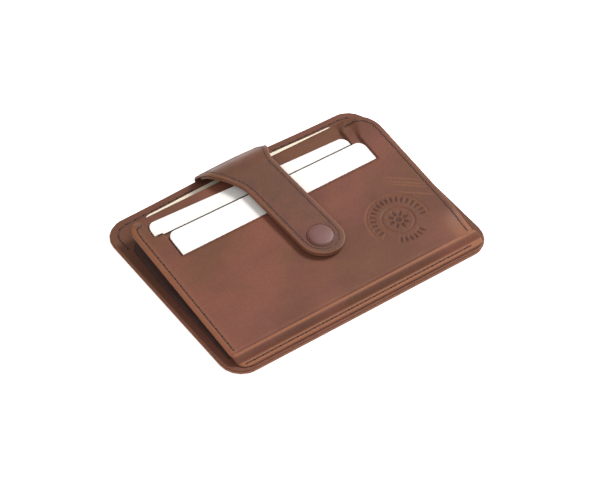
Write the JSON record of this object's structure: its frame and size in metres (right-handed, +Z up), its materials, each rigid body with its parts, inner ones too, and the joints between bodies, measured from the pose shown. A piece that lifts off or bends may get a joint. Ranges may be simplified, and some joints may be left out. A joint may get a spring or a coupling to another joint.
{
  "type": "card wallet",
  "caption": "Slim leather card wallet with a riveted closing strap, a side-gusseted main pocket, stepped card slots in the front panel and cards that slide out.",
  "frame": {"origin": "middle of the back panel's outer face, which lies on the table", "axes": "+X across the wallet's width, +Y towards the open top edge, +Z up through the wallet, out of its front"},
  "size_m": [0.1146, 0.0867, 0.0153],
  "materials": {
    "outer_leather": "waxed pull-up leather, red-brown with lighter worn edges",
    "strap_leather": "waxed pull-up leather, darker red-brown",
    "band_leather": "the same leather stretched lighter over the bottom fold",
    "lining_leather": "thin matt lining leather",
    "thread": "waxed dark brown thread",
    "snap_cap": "brown lacquered cap, smooth",
    "snap_metal": "antique brass",
    "card_white": "plain warm white card stock",
    "card_cream": "plain cream card stock"
  },
  "bodies": {
    "back": {"back_panel": "outer_leather", "back_lining": "lining_leather", "bottom_band": "band_leather", "band_thread": "thread", "rim_thread_left": "thread", "rim_thread_right": "thread", "strap_tail": "strap_leather", "gusset_left": "lining_leather", "gusset_right": "lining_leather"},
    "front": {"front_panel": "outer_leather", "lower_pocket_leather": "lining_leather", "upper_pocket_leather": "lining_leather", "front_thread_left": "thread", "front_thread_right": "thread", "snap_stud": "snap_metal", "snap_rivet": "snap_metal"},
    "strap": {"strap_outer": "strap_leather", "strap_lining": "lining_leather", "strap_thread": "thread", "snap_cap": "snap_cap", "snap_socket": "snap_metal"},
    "lower_card": {"lower_card": "card_white"},
    "upper_card": {"upper_card": "card_white"},
    "main_card": {"main_card": "card_cream"}
  },
  "joints": [
    {"name": "strap_open", "type": "hinge", "parent": "back", "child": "strap", "pos_m": [0, 0.04294, 0.0026], "axis": [-1, 0, 0], "range_deg": [0, 125]},
    {"name": "pocket_open", "type": "hinge", "parent": "back", "child": "front", "pos_m": [0, -0.0375, 0.0048], "axis": [1, 0, 0], "range_deg": [0, 12], "deforming": ["gusset_left", "gusset_right"]},
    {"name": "lower_card_slide", "type": "slide", "parent": "front", "child": "lower_card", "axis": [0, 0.994, 0.1093], "range_m": [-0.0025, 0.012]},
    {"name": "upper_card_slide", "type": "slide", "parent": "front", "child": "upper_card", "axis": [0, 0.994, 0.1093], "range_m": [0, 0.0075]},
    {"name": "main_card_slide", "type": "slide", "parent": "back", "child": "main_card", "axis": [0, 1, 0.0094], "range_m": [-0.006, 0.0015]}
  ],
  "couplings": [
    {"joint": "pocket_open", "follows": "strap_open", "ratio": 0.096}
  ]
}
